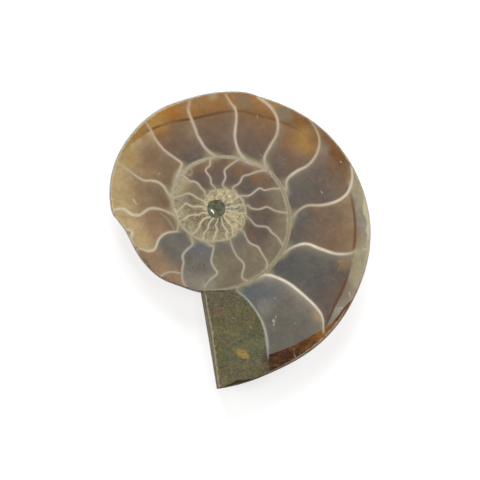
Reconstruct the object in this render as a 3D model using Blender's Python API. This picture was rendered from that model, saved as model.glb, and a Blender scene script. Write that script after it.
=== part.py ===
"""Half of a coiled ammonite fossil, sawn along the plane of its coil and polished.

It lies on the domed flank of its shell with the flat polished face up. The frame's
origin is the centre of its bounding box, on the surface that it rests on: +X runs across
the face, +Y runs away from the sawn end of the body chamber, and +Z is up. Lengths below
are in millimetres from the middle of the coil, and angles turn clockwise, as seen from
above, from the line that runs straight down to the foot of the sawn end.
"""

import math

import bmesh
import bpy
from mathutils import Vector

MM = 0.001

# The shell's outer edge: degrees round the coil, and distance from its middle.
KEEL = (
    (10.75, 18.83), (25, 18.9), (40, 19.7), (55, 20.0), (68, 20.2), (76.5, 20.7),
    (83, 21.9), (87, 22.9), (97, 23.75), (113, 24.6), (128, 25.0), (150, 25.35),
    (165, 25.2), (182, 25.85), (195, 26.6), (202, 26.6), (215, 27.5), (235, 29.55),
    (260, 32.35), (280, 34.55), (300, 36.0), (320, 37.35), (340, 38.0), (350, 38.8),
    (359.85, 39.7),
)
LAST_TURN = 360.0
SAWN_END_TURN = LAST_TURN + KEEL[0][0]

# The flank, which is the domed underside.
KEEL_DEPTH = 2.3            # from the face down to where the dome starts, at the keel
FLANK_DEPTH = 8.2           # how much deeper the dome gets where the last whorl ends
DEPTH_POWER = 0.5           # earlier whorls are narrower by this power of their radius
SADDLE = 0.58               # the deepest part of a whorl, as a share of its radius
UMBILICUS = 0.3             # a whorl overlaps the one before it out from this share
DOME_FULLNESS = (3.0, 0.6)  # powers that round the flank from its deepest part to the keel
CUT_SLOPE_X = 0.0114        # how the saw cut leans from the plane of the coil, so that
CUT_SLOPE_Y = -0.0418       # the face is level when the flank rests on a flat surface

# Edges of the polished face.
EDGE_INSET = 0.4
EDGE_DROP = 0.35
EDGE_BULGE = 0.1
SAWN_INSET = 0.9            # the sawn end slopes out by this much on its way down
SAWN_FOOT_INSET = 0.45
SAWN_STRAIGHT_SHARE = 0.55

# The first chamber, a small hollow polished into the middle of the face.
HOLLOW_RADIUS = 2.0
HOLLOW_DEPTH = 0.25
HOLLOW_CENTRE = Vector((-0.11, -0.11, 0.0))
FACE_RINGS = (0.4, 0.72, 0.9)

# How finely the surface is divided.
KEEL_SPOKES = 104
SAWN_SPOKES = 12
NOTCH_GAP_DEGREES = 0.5
HOLLOW_RINGS = 4
FLANK_RINGS = (
    0.99, 0.965, 0.93, 0.88, 0.82, 0.75, 0.67, 0.585, 0.5, 0.43, 0.37, 0.33, 0.3,
    0.26, 0.22, 0.18, 0.14, 0.11, 0.085, 0.064, 0.045, 0.028,
)
EVEN_ANGLES_WITHIN = 3.0    # the spokes are evenly spaced inside this distance
TRUE_ANGLES_BEYOND = 11.0   # and point at their place on the edge outside this one


def smooth_step(low, high, value):
    share = min(max((value - low) / (high - low), 0.0), 1.0)
    return share * share * (3.0 - 2.0 * share)


def direction(degrees):
    turn = math.radians(degrees)
    return Vector((-math.sin(turn), -math.cos(turn), 0.0))


def keel_radius(degrees):
    """Distance of the keel from the middle of the coil, on a smooth curve through KEEL."""
    if degrees >= KEEL[-1][0]:
        beyond = (degrees - KEEL[-1][0]) / LAST_TURN
        return KEEL[-1][1] * (KEEL[-1][1] / KEEL[0][1]) ** beyond
    after = next(i for i, (angle, _) in enumerate(KEEL) if i and angle >= degrees)
    (a0, r0), (a1, r1) = KEEL[after - 1], KEEL[after]
    before_a, before_r = KEEL[max(after - 2, 0)]
    beyond_a, beyond_r = KEEL[min(after + 1, len(KEEL) - 1)]
    slope0 = (r1 - before_r) / (a1 - before_a)
    slope1 = (beyond_r - r0) / (beyond_a - a0)
    span = a1 - a0
    t = (degrees - a0) / span
    return (
        (2 * t**3 - 3 * t**2 + 1) * r0
        + (t**3 - 2 * t**2 + t) * span * slope0
        + (3 * t**2 - 2 * t**3) * r1
        + (t**3 - t**2) * span * slope1
    )


WHORL_GROWTH = keel_radius(SAWN_END_TURN) / KEEL[0][1]


def flank_share(share):
    """Depth of the dome at a share of the whorl's radius, from 0 at the keel to 1."""
    if share >= SADDLE:
        out = min((share - SADDLE) / (1.0 - SADDLE), 1.0)
        return (1.0 - out ** DOME_FULLNESS[0]) ** DOME_FULLNESS[1]
    seam = flank_share(UMBILICUS * WHORL_GROWTH) / WHORL_GROWTH**DEPTH_POWER
    inward = (SADDLE - share) / (SADDLE - UMBILICUS)
    return 1.0 - (1.0 - seam) * inward**2


def flank_height(point, keel):
    """Height of the underside at a point of the newest whorl there, below the face."""
    radius = point.xy.length
    while radius < UMBILICUS * keel and keel > HOLLOW_RADIUS:
        keel /= WHORL_GROWTH
    share = max(radius / keel, UMBILICUS)
    dome = FLANK_DEPTH * (keel / KEEL[-1][1]) ** DEPTH_POWER * flank_share(share)
    return CUT_SLOPE_X * point.x + CUT_SLOPE_Y * point.y - KEEL_DEPTH - dome


class Spoke:
    """A line from the middle of the coil to the edge, and the newest whorl's keel there."""

    def __init__(self, degrees, edge, keel, inset):
        self.degrees = degrees
        self.edge = edge
        self.keel = keel
        self.inset = inset

    def at(self, radius, even_degrees):
        """A point at this distance, turned to an even spacing near the middle."""
        true_share = smooth_step(EVEN_ANGLES_WITHIN, TRUE_ANGLES_BEYOND, radius)
        degrees = even_degrees + (self.degrees - even_degrees) * true_share
        return direction(degrees) * radius


def keel_spokes():
    """Spokes evenly spaced along the keel, from the notch round to the foot of the cut."""
    fine = 2000
    low = KEEL[0][0] + NOTCH_GAP_DEGREES
    angles = [low + (KEEL[-1][0] - low) * i / fine for i in range(fine + 1)]
    places = [direction(a) * keel_radius(a) for a in angles]
    lengths = [0.0]
    for here, there in zip(places, places[1:]):
        lengths.append(lengths[-1] + (there - here).length)
    spokes = []
    step = 0
    for i in range(KEEL_SPOKES):
        wanted = lengths[-1] * i / (KEEL_SPOKES - 1)
        while step < fine and lengths[step] < wanted - 1e-9:
            step += 1
        angle = angles[step]
        inset = direction(angle) * -EDGE_INSET
        spokes.append(Spoke(angle, places[step], keel_radius(angle), inset))
    spokes[-1].inset.x = SAWN_FOOT_INSET
    return spokes


def sawn_spokes(foot):
    """Spokes up the straight sawn end, from its foot to the notch."""
    notch = direction(KEEL[0][0]) * KEEL[0][1]
    spokes = []
    for i in range(1, SAWN_SPOKES + 1):
        up = i / SAWN_SPOKES
        edge = foot.edge.lerp(notch, up)
        degrees = LAST_TURN + math.degrees(math.atan2(-edge.x, -edge.y))
        straight = smooth_step(0.0, SAWN_STRAIGHT_SHARE, up)
        across = SAWN_FOOT_INSET + (SAWN_INSET - SAWN_FOOT_INSET) * straight
        inset = Vector((across, EDGE_INSET if i == SAWN_SPOKES else 0.0, 0.0))
        spokes.append(Spoke(degrees, edge, keel_radius(degrees), inset))
    return spokes


def spokes_round():
    spokes = keel_spokes()
    return spokes + sawn_spokes(spokes[-1])


def ring_points(spokes):
    """The rings of the surface, from the middle of the face over the edge to the flank."""
    first = spokes[0].degrees
    even = [first + LAST_TURN * i / len(spokes) for i in range(len(spokes))]
    rings = []
    for ring in range(1, HOLLOW_RINGS + 1):
        out = ring / HOLLOW_RINGS
        sunk = HOLLOW_DEPTH * (1.0 - out**2)
        drop = Vector((0.0, 0.0, -sunk))
        rings.append([direction(a) * HOLLOW_RADIUS * out + HOLLOW_CENTRE + drop for a in even])
    for share in FACE_RINGS:
        rings.append([s.at(s.edge.length * share, a) for s, a in zip(spokes, even)])
    rings.append([s.edge + s.inset for s in spokes])
    shoulder = Vector((0.0, 0.0, -EDGE_DROP))
    bulge = EDGE_BULGE / EDGE_INSET
    rings.append([s.edge + s.inset * bulge + shoulder for s in spokes])
    for share in (1.0, *FLANK_RINGS):
        ring = []
        for spoke, angle in zip(spokes, even):
            point = spoke.at(spoke.edge.length * share, angle)
            point.z = flank_height(point, spoke.keel)
            ring.append(point)
        rings.append(ring)
    return rings


def half_shell():
    """One closed body: a blank is spun from a profile, then its rings are put in place."""
    spokes = spokes_round()
    rings = ring_points(spokes)
    mesh = bmesh.new()
    profile = [mesh.verts.new((0.0, 0.0, 0.0))]
    for row in range(1, len(rings) + 1):
        profile.append(mesh.verts.new((1.0, 0.0, -float(row))))
    profile.append(mesh.verts.new((0.0, 0.0, -float(len(rings) + 1))))
    edges = [mesh.edges.new(pair) for pair in zip(profile, profile[1:])]
    bmesh.ops.spin(
        mesh, geom=profile + edges, cent=(0, 0, 0), axis=(0, 0, -1), angle=math.tau,
        steps=len(spokes), use_merge=True,
    )
    bmesh.ops.remove_doubles(mesh, verts=mesh.verts, dist=0.001)
    face_middle = HOLLOW_CENTRE - Vector((0.0, 0.0, HOLLOW_DEPTH))
    flank_middle = Vector((0.0, 0.0, flank_height(Vector(), KEEL[-1][1])))
    for vertex in mesh.verts:
        row = round(-vertex.co.z)
        if row in (0, len(rings) + 1):
            vertex.co = flank_middle if row else face_middle
            continue
        turn = math.atan2(-vertex.co.y, vertex.co.x) % math.tau
        vertex.co = rings[row - 1][round(turn / math.tau * len(spokes)) % len(spokes)]
    return mesh


def put_in_frame(mesh):
    """Moves the origin to the middle of the bounding box, on its underside, in metres."""
    low = Vector(min(v.co[axis] for v in mesh.verts) for axis in range(3))
    high = Vector(max(v.co[axis] for v in mesh.verts) for axis in range(3))
    origin = Vector(((low.x + high.x) / 2, (low.y + high.y) / 2, low.z))
    bmesh.ops.translate(mesh, verts=mesh.verts, vec=-origin)
    bmesh.ops.scale(mesh, verts=mesh.verts, vec=(MM, MM, MM))


def stone():
    """Calcite and mudstone, polished on the cut."""
    material = bpy.data.materials.new("fossil_stone")
    material.use_nodes = True
    shader = material.node_tree.nodes["Principled BSDF"]
    shader.inputs["Base Color"].default_value = (0.23, 0.17, 0.11, 1.0)
    shader.inputs["Roughness"].default_value = 0.3
    shader.inputs["Metallic"].default_value = 0.0
    return material


for old in list(bpy.data.objects):
    bpy.data.objects.remove(old, do_unlink=True)

shell = half_shell()
put_in_frame(shell)
bmesh.ops.recalc_face_normals(shell, faces=shell.faces)
shape = bpy.data.meshes.new("ammonite_half")
shell.to_mesh(shape)
shell.free()
shape.materials.append(stone())
shape.shade_smooth()
shape.set_sharp_from_angle(angle=math.radians(35))
bpy.context.scene.collection.objects.link(bpy.data.objects.new("ammonite_half", shape))
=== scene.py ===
"""Dresses a sawn and polished half of a coiled ammonite fossil.

The face is wound as one ribbon from the first chamber out to the sawn end, as the shell
grew, and every wall in it is a distance that the stone's materials read. Lengths are in
millimetres from the middle of the coil, and turns are degrees clockwise, as seen from
above, from the line that runs down to the foot of the sawn end.
"""

import math

import bmesh
import bpy
import numpy as np
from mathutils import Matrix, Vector, noise


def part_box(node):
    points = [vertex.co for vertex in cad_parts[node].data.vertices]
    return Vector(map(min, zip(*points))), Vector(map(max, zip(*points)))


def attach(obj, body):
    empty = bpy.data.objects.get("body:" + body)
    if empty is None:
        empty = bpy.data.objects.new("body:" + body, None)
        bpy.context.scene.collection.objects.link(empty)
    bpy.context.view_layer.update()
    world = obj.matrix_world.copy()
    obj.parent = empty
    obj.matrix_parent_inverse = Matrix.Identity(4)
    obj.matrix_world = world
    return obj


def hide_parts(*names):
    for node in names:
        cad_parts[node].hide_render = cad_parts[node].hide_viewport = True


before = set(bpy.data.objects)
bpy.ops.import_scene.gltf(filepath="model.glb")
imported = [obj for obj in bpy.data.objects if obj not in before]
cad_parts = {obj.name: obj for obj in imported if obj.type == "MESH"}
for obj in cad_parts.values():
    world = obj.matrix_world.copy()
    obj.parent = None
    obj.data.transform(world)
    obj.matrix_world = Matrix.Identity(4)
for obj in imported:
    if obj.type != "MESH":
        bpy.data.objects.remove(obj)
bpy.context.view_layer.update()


# The last whorl. Polished calcite fills the chambers of the last turn of the shell; pale
# walls part them, and a band of stained calcite follows the keel. The saw cut all of it
# flat in one pass, and it was ground and polished on the cut.

MM = 0.001
KEEL = (
    (10.75, 18.83), (25, 18.9), (40, 19.7), (55, 20.0), (68, 20.2), (76.5, 20.7), (83, 21.9),
    (87, 22.9), (97, 23.75), (113, 24.6), (128, 25.0), (150, 25.35), (165, 25.2), (182, 25.85),
    (195, 26.6), (202, 26.6), (215, 27.5), (235, 29.55), (260, 32.35), (280, 34.55), (300, 36.0),
    (320, 37.35), (340, 38.0), (350, 38.8), (359.85, 39.7),
)
SPIRAL_WALL = (
    (-660, 2.0), (-630, 2.33), (-600, 2.9), (-570, 3.54), (-540, 4.07), (-510, 4.84),
    (-480, 5.68), (-450, 6.34), (-420, 6.89), (-390, 7.13), (-360, 7.04), (-330, 7.61),
    (-300, 8.27), (-270, 9.37), (-240, 10.63), (-210, 11.04), (-180, 11.35), (-150, 12.43),
    (-120, 14.52), (-90, 15.84), (-60, 17.16), (-30, 17.56), (0, 18.0), (8.2, 18.29),
)
EDGE_INSET = 0.4
SAWN_INSET = 0.9
SAWN_FOOT_INSET = 0.45
SAWN_STRAIGHT_SHARE = 0.55
KEEL_STATIONS = 800
SAWN_STATIONS = 44
FIRST_KEEL_TURN = 11.2
LAST_KEEL_TURN = 358.85


def heading(turn):
    angle = np.radians(turn)
    return np.stack([-np.sin(angle), -np.cos(angle)], -1)


def turn_of(points):
    return np.degrees(np.arctan2(-points[..., 0], -points[..., 1])) % 360.0


def smooth_step(low, high, value):
    share = np.clip((value - low) / (high - low), 0.0, 1.0)
    return share * share * (3.0 - 2.0 * share)


def smooth_through(stops, at):
    """The value at each place on a smooth curve through (place, value) stops."""
    x, y = np.array(stops, float).T
    at = np.clip(at, x[0], x[-1])
    i = np.clip(np.searchsorted(x, at) - 1, 0, len(x) - 2)
    before = np.maximum(i - 1, 0)
    beyond = np.minimum(i + 2, len(x) - 1)
    span = x[i + 1] - x[i]
    t = (at - x[i]) / span
    slope0 = (y[i + 1] - y[before]) / (x[i + 1] - x[before])
    slope1 = (y[beyond] - y[i]) / (x[beyond] - x[i])
    return (
        (2 * t**3 - 3 * t**2 + 1) * y[i]
        + (t**3 - 2 * t**2 + t) * span * slope0
        + (3 * t**2 - 2 * t**3) * y[i + 1]
        + (t**3 - t**2) * span * slope1
    )


def straight_through(stops, at):
    return np.interp(at, *zip(*stops))


def keel_radius(turn):
    growth = (KEEL[-1][1] / KEEL[0][1]) ** (np.maximum(turn - KEEL[-1][0], 0.0) / 360.0)
    return smooth_through(KEEL, turn) * growth


def whorl_radius(turn):
    """Radius of the outer wall of the whorl at each turn, from the first chamber out."""
    inner = smooth_through(SPIRAL_WALL, turn)
    return np.where(turn <= SPIRAL_WALL[-1][0], inner, keel_radius(turn))


# Chips along the rim, where the shell broke as it was ground: turn, half width, depth.
CHIPS = (
    (52.0, 4.5, 0.45), (63.7, 2.2, 0.28), (74.0, 2.6, 0.60), (86.5, 1.2, 0.30), (94.0, 1.6, 0.15),
    (306.5, 2.0, 0.40), (352.5, 4.5, 0.50),
)


def rim_inset(turn):
    """How far the edge of the face lies in from the outline, by turn."""
    chips = sum(d * np.clip(1 - ((turn - middle) / half) ** 2, 0, 1) for middle, half, d in CHIPS)
    ragged = 0.05 * np.sin(np.radians(turn * 41)) + 0.04 * np.sin(np.radians(turn * 97 + 40))
    return EDGE_INSET + ragged + chips * (1 + ragged * 4)


foot = heading(KEEL[-1][0]) * KEEL[-1][1]
notch = heading(KEEL[0][0]) * KEEL[0][1]
keel_turns = np.linspace(FIRST_KEEL_TURN, LAST_KEEL_TURN, KEEL_STATIONS)
keel_line = heading(keel_turns) * keel_radius(keel_turns)[:, None]
up = np.arange(SAWN_STATIONS + 1) / SAWN_STATIONS
sawn_line = foot + (notch - foot) * up[:, None]
widening = (SAWN_INSET - SAWN_FOOT_INSET) * smooth_step(0.0, SAWN_STRAIGHT_SHARE, up)
sawn_edge = sawn_line + np.stack([SAWN_FOOT_INSET + widening, np.zeros_like(up)], -1)
sawn_edge[[0, -1], 1] += EDGE_INSET
silhouette = np.vstack([keel_line, sawn_line])
face_edge = np.vstack([
    keel_line - heading(keel_turns) * rim_inset(keel_turns)[:, None], sawn_edge
])

# The frame says where the middle of the coil is, and how high the polished face.
node_low, node_high = (np.array(corner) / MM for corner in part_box("ammonite_half"))
coil_middle = np.array([
    node_low[0] - silhouette[:, 0].min(), node_high[1] - silhouette[:, 1].max(),
])
face_height = node_high[2]

# The septa, the newest first, each from its inner end to its outer one.
SEPTA = (
    ((4.4, -18.0), (6.8, -20.0), (9.0, -22.9), (10.5, -26.0), (11.2, -29.5), (11.4, -32.8),
     (11.9, -36.1)),
    ((8.8, -15.2), (10.6, -14.6), (12.5, -14.8), (15.8, -16.3), (19.1, -18.9), (22.0, -21.7),
     (23.4, -24.0), (23.6, -27.3)),
    ((14.7, -9.9), (16.9, -8.4), (19.8, -7.7), (22.9, -8.8), (26.4, -9.9), (29.5, -9.8), (31.2, -8.9),
     (33.7, -9.0)),
    ((16.1, -3.1), (17.8, -0.7), (20.0, 0.7), (23.3, 0.8), (26.8, 1.8), (29.0, 3.7), (29.9, 6.6),
     (29.7, 9.9)),
    ((15.4, 4.0), (15.6, 6.4), (17.6, 8.2), (20.2, 9.6), (22.0, 11.9), (22.7, 14.7), (22.0, 17.4),
     (20.2, 20.0)),
    ((11.0, 8.4), (10.6, 11.2), (11.9, 13.9), (13.4, 16.7), (13.4, 19.8), (11.9, 22.4), (9.2, 24.6)),
    ((8.0, 9.8), (6.8, 10.4), (5.3, 12.1), (4.5, 13.9), (4.1, 15.8), (4.2, 17.5), (4.4, 19.3),
     (4.4, 21.0), (4.0, 22.2), (3.2, 23.3), (2.0, 25.2)),
    ((-0.2, 11.6), (-1.5, 12.5), (-2.6, 13.6), (-3.4, 14.9), (-4.1, 16.1), (-4.7, 17.8), (-5.7, 20.3),
     (-6.1, 21.5), (-6.1, 22.4), (-5.7, 24.2)),
    ((-8.8, 6.2), (-8.5, 7.5), (-7.8, 9.0), (-7.6, 9.9), (-8.3, 10.6), (-11.2, 12.7), (-12.3, 13.9),
     (-13.4, 15.4), (-14.3, 17.2), (-15.6, 19.2)),
    ((-10.1, 2.75), (-11.0, 4.0), (-11.6, 4.95), (-12.7, 5.8), (-14.1, 6.2), (-15.6, 6.2), (-16.7, 6.6),
     (-18.0, 7.5), (-19.1, 8.4), (-21.4, 10.1)),
    ((-9.2, -1.4), (-11.6, -0.35), (-12.7, -0.05), (-14.0, 0.1), (-15.1, -0.2), (-16.7, -1.3),
     (-17.6, -1.4), (-18.7, -1.2), (-20.6, 0.0), (-23.1, -0.3)),
    ((-8.5, -5.0), (-9.7, -5.1), (-10.8, -5.3), (-11.9, -5.9), (-12.7, -6.9), (-13.4, -8.7),
     (-14.1, -9.2), (-15.1, -9.3), (-16.3, -8.9), (-18.3, -8.4)),
    ((-5.5, -6.2), (-5.2, -7.8), (-6.1, -8.7), (-7.0, -9.6), (-7.4, -10.5), (-7.2, -11.9), (-7.5, -13.5),
     (-7.4, -15.8), (-6.6, -17.3)),
    ((-2.3, -7.0), (-1.4, -8.0), (-0.6, -8.5), (-1.1, -11.4), (-0.4, -13.1), (0.2, -13.9), (-0.2, -14.7),
     (-1.5, -15.7), (-2.7, -17.4)),
    ((3.0, -6.6), (3.6, -8.6), (4.6, -10.5), (5.8, -11.7), (6.1, -12.8), (5.7, -14.3), (5.8, -15.3),
     (6.9, -15.9)),
    ((5.6, -4.6), (6.1, -5.2), (6.9, -6.9), (7.7, -7.7), (9.2, -8.4), (9.8, -9.4), (10.7, -10.9),
     (11.2, -11.9), (11.0, -13.5)),
    ((6.6, -1.6), (7.5, -2.4), (8.8, -3.7), (10.7, -3.9), (11.5, -4.3), (12.2, -5.2), (13.4, -6.2),
     (14.6, -7.9)),
    ((6.4, 0.3), (6.9, 0.8), (7.7, 0.1), (9.4, -0.1), (11.0, 0.4), (11.9, 0.1), (13.2, -0.5),
     (16.0, -1.0)),
    ((6.0, 1.2), (5.9, 1.9), (5.3, 2.8), (7.2, 2.9), (9.0, 4.2), (9.7, 4.5), (10.7, 4.1), (12.4, 4.4),
     (15.3, 4.5)),
    ((4.6, 2.6), (4.3, 3.8), (3.6, 4.6), (5.1, 5.7), (5.9, 7.1), (7.2, 7.5), (8.8, 8.1), (11.0, 8.6)),
    ((2.8, 3.8), (2.2, 4.4), (1.4, 5.3), (2.0, 6.8), (1.8, 8.3), (2.3, 9.0), (4.0, 10.3), (5.2, 11.0)),
    ((-1.5, 3.8), (-0.2, 4.4), (-1.1, 5.5), (-1.3, 6.8), (-2.3, 8.3), (-2.0, 9.0), (-1.4, 9.6),
     (-1.3, 11.2)),
    ((-1.9, 2.8), (-2.5, 3.1), (-2.5, 3.8), (-3.3, 4.6), (-4.0, 5.5), (-5.0, 6.05), (-5.8, 6.1),
     (-6.8, 7.0), (-8.3, 7.6)),
    ((-2.0, 0.9), (-2.5, 1.5), (-3.1, 1.9), (-4.0, 2.3), (-5.6, 3.3), (-6.4, 3.4), (-7.5, 3.0),
     (-9.6, 2.4)),
    ((-2.2, -0.2), (-2.9, 0.2), (-3.3, 0.5), (-5.2, 0.5), (-6.3, 1.0), (-6.8, 1.1), (-7.7, 0.2),
     (-9.0, -0.9)),
    ((-2.0, -1.0), (-3.1, -0.9), (-3.9, -1.3), (-4.7, -1.3), (-5.9, -1.5), (-7.0, -2.2), (-8.4, -2.9)),
    ((-1.3, -1.8), (-2.2, -2.0), (-3.1, -2.6), (-3.6, -3.4), (-4.0, -4.4), (-5.3, -5.6)),
    ((-0.6, -2.1), (-1.2, -2.7), (-1.7, -3.6), (-1.8, -4.4), (-2.6, -5.3), (-3.0, -6.7)),
    ((0.4, -2.1), (0.2, -2.9), (-0.2, -3.7), (0.2, -4.4), (-0.1, -5.4), (-0.7, -7.0)),
    ((1.1, -2.0), (1.4, -3.2), (1.8, -4.1), (2.4, -4.8), (2.2, -5.6), (2.5, -6.8)),
    ((1.7, -1.5), (2.0, -2.4), (2.6, -3.1), (3.4, -4.0), (3.7, -5.9)),
    ((2.0, -1.0), (2.7, -1.4), (3.3, -1.8), (4.0, -1.8), (4.4, -2.6), (5.5, -3.4)),
    ((2.0, -0.4), (2.6, -0.4), (3.4, -0.7), (4.0, -0.5), (5.0, -1.0), (6.4, -0.9)),
    ((2.0, 0.2), (2.9, 0.4), (3.6, 0.6), (4.1, 0.3), (5.0, 0.9), (6.0, 0.9)),
    ((1.8, 0.9), (2.3, 1.2), (2.9, 1.5), (3.5, 1.4), (4.0, 2.1), (4.9, 2.7)),
    ((1.3, 1.5), (1.8, 1.9), (1.4, 2.4), (2.0, 3.0), (2.4, 3.9)),
    ((0.1, 2.0), (0.0, 2.6), (0.5, 3.2), (0.3, 4.2)),
)
STEPS_PER_SPAN = 6
FAR = 3.0


def curve_through(points):
    """A smooth line through points, finely divided."""
    fine = np.linspace(0, len(points) - 1, (len(points) - 1) * STEPS_PER_SPAN + 1)
    return np.stack([smooth_through(list(enumerate(axis)), fine) for axis in zip(*points)], -1)


def septum_in_whorl(line):
    """A septum as (share across its whorl, turn) pairs, from the inner wall outwards."""
    radii = np.hypot(*line.T)
    turns = turn_of(line)
    middle = len(line) // 2
    back = [turns[middle] - 360.0 * n for n in range(3)]
    turn = min(t for t in back if whorl_radius(t) >= radii[middle])
    turns = turn + (turns - turn + 180.0) % 360.0 - 180.0
    inner = whorl_radius(turns - 360.0)
    across = (radii - inner) / (whorl_radius(turns) - inner)
    order = np.argsort(across)
    return across[order], turns[order]


septum_lines = [curve_through(points) for points in SEPTA]
septa_across = [septum_in_whorl(line) for line in septum_lines]


def chamber_at(across, turn):
    """The number of each place's chamber, which is how many septa are newer than it."""
    walls = np.array([np.interp(across, *septum) for septum in septa_across])
    return (walls > turn).sum(axis=0)


def keep_nearer(kept, found):
    """Takes over from found each place that is nearer there. The first row is a distance."""
    closer = found[0] < kept[0]
    kept[:, closer] = found[:, closer]


def distance_to(line, places):
    """Distance of each place from a line, how far along it the nearest point is, and the
    side: 1 to the right of the line, which is the newer side of a septum, or -1."""
    result = np.zeros((3, len(places)))
    result[0] = np.inf
    near = ((places > line.min(0) - FAR) & (places < line.max(0) + FAR)).all(1)
    here = places[near]
    found = result[:, near]
    total = len(line) - 1
    for step in range(total):
        run = line[step + 1] - line[step]
        offset = here - line[step]
        t = np.clip(offset @ run / (run @ run + 1e-12), 0.0, 1.0)
        away = np.hypot(*(offset - t[:, None] * run).T)
        side = np.sign(offset[:, 0] * run[1] - offset[:, 1] * run[0])
        keep_nearer(found, np.array([away, (step + t) / total, side]))
    result[:, near] = found
    return result


# How each of the last septa looks: half its thickness and how light it is, at even steps
# from the inner wall to the keel, and to which side it leans under the polish, where its
# pale edge shines through the calcite: 1 is the side of the newer chamber.
SEPTUM_LOOKS = (
    ((0.14, 0.17, 0.20, 0.24, 0.34, 0.1, -0.8), (0.10, 0.20, 0.26, 0.22, 0.14, 0.1, 0.0), 0.0),
    ((0.16, 0.24, 0.27, 0.23, 0.14), (0.42, 1.00, 1.00, 0.95, 0.60), 1.0),
    ((0.20, 0.26, 0.27, 0.26, 0.24), (0.42, 0.95, 1.00, 0.52, 0.18), 0.8),
    ((0.17, 0.24, 0.28, 0.23, 0.20), (0.32, 0.52, 0.78, 0.86, 0.66), 0.3),
    ((0.22, 0.29, 0.25, 0.21, 0.16), (0.44, 0.76, 0.62, 0.50, 0.34), 0.8),
    ((0.26, 0.26, 0.26, 0.26, 0.30), (0.46, 0.56, 0.58, 0.62, 0.66), 0.8),
    ((0.25, 0.27, 0.27, 0.23, 0.19), (0.48, 0.64, 0.68, 0.60, 0.46), -0.6),
    ((0.25, 0.28, 0.29, 0.30, 0.30), (0.50, 0.62, 0.58, 0.48, 0.38), -0.6),
    ((0.27, 0.25, 0.23, 0.21, 0.18), (0.50, 0.58, 0.60, 0.56, 0.44), -0.4),
    ((0.24, 0.26, 0.23, 0.18, 0.10), (0.54, 0.62, 0.64, 0.60, 0.50), -0.4),
    ((0.20, 0.27, 0.29, 0.29, 0.27), (0.50, 0.64, 0.72, 0.74, 0.74), 0.3),
    ((0.18, 0.24, 0.26, 0.26, 0.22), (0.52, 0.66, 0.74, 0.70, 0.56), 0.2),
    ((0.17, 0.23, 0.23, 0.21, 0.17), (0.42, 0.54, 0.60, 0.54, 0.46), 0.0),
)
SECOND_WHORL_LOOK = ((0.14, 0.18, 0.17), (0.44, 0.60, 0.50), 0.0)
CORE_LOOK = ((0.15, 0.17, 0.10), (0.5, 0.5, 0.5), 0.0)
FIRST_CORE_SEPTUM = 23
septum_looks = list(SEPTUM_LOOKS)
septum_looks += [SECOND_WHORL_LOOK] * (FIRST_CORE_SEPTUM - len(SEPTUM_LOOKS))
septum_looks += [CORE_LOOK] * (len(SEPTA) - FIRST_CORE_SEPTUM)
# Short walls beside the septa, where a septum forks or a crack has healed: half thickness,
# lightness and the places that each runs through.
SIDE_WALLS = (
    (0.16, 0.50, ((-12.3, -14.9), (-11.0, -14.1), (-9.5, -13.9), (-7.7, -14.2))),
    (0.05, 0.40, ((-12.4, -0.8), (-10.9, -2.1), (-9.9, -3.5), (-9.2, -4.8))),
    (0.14, 0.48, ((-9.5, 0.6), (-8.8, -1.1), (-8.4, -2.6), (-8.5, -4.4), (-9.0, -5.1))),
    (0.06, 0.40, ((-6.6, 7.5), (-5.7, 7.4), (-5.3, 8.1), (-5.6, 8.7))),
)
SPIRAL_WALL_HALF = (
    (-660, 0.1), (-540, 0.12), (-420, 0.16), (-350, 0.18), (-300, 0.2), (-270, 0.24),
    (-240, 0.28), (-205, 0.26), (-180, 0.24), (-150, 0.28), (-120, 0.34), (-90, 0.40),
    (-60, 0.36), (-20, 0.24), (8.2, 0.16),
)
# On the right the spiral wall is two fine lines with olive calcite between them.
TWIN_FROM = -125.0
TWIN_TO = -30.0
TWIN_FADE = 18.0
SPIRAL_STEP = 1.5
SPIRAL_STRETCH = 20
FILLET = 0.4


def linear(hex_colour):
    """An sRGB hex colour as linear red, green, blue and full opacity."""
    parts = [int(hex_colour[i:i + 2], 16) / 255 for i in (1, 3, 5)]
    return (*(c / 12.92 if c <= 0.04045 else ((c + 0.055) / 1.055) ** 2.4 for c in parts), 1.0)


# The tones of the calcite. Clear spar over dark shell looks slate to plum, iron has turned
# it amber to rust, and where it is cloudy or granular it is sandy to cream.
TONES = {
    "deep slate": "#505454", "slate": "#606464", "dusk": "#5a5650", "plum": "#62544a",
    "mauve": "#745c48", "taupe": "#6c665c", "ash": "#8a8272", "olive": "#7c705a",
    "moss": "#605840", "grey green": "#84826c", "tan": "#8c7454", "amber": "#8c6434",
    "orange": "#98621e", "umber": "#3a3022", "gold": "#a07a3c", "rust": "#70481e",
    "honey": "#a08858", "pale honey": "#b49c70", "sand": "#a09474", "rose": "#94785c",
    "cream": "#c4b48c", "haze": "#98948a", "chalk": "#e4d8c0",
}
WALL_SHADES = (
    (0.0, "#777c78"), (0.2, "#a9ada6"), (0.27, "#aeb0a6"), (0.33, "#9a907b"), (0.5, "#b3a791"),
    (0.7, "#c6bca8"), (1.0, "#e6decd"),
)
CORE_WALL_SHADE = "#cbbf9f"
COLD_WALL_SHADE = "#a3a398"
SPIRAL_SHADES = ((-660, "#b8ac8c"), (-200, "#aca088"), (-30, "#9c927a"), (8.2, "#8c8a80"))


def paint(tone):
    """The linear red, green and blue of a named tone or of a hex colour."""
    return np.array(linear(TONES.get(tone, tone))[:3])


def shade_through(stops, at):
    """Linear colours along a line of (place, tone) stops."""
    places, tones = zip(*stops)
    channels = np.array([paint(tone) for tone in tones]).T
    return np.stack([np.interp(at, places, channel) for channel in channels], -1)


def blend(first, second, share):
    second = paint(second) if isinstance(second, str) else second
    return first + (second - first) * share[..., None]


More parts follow.
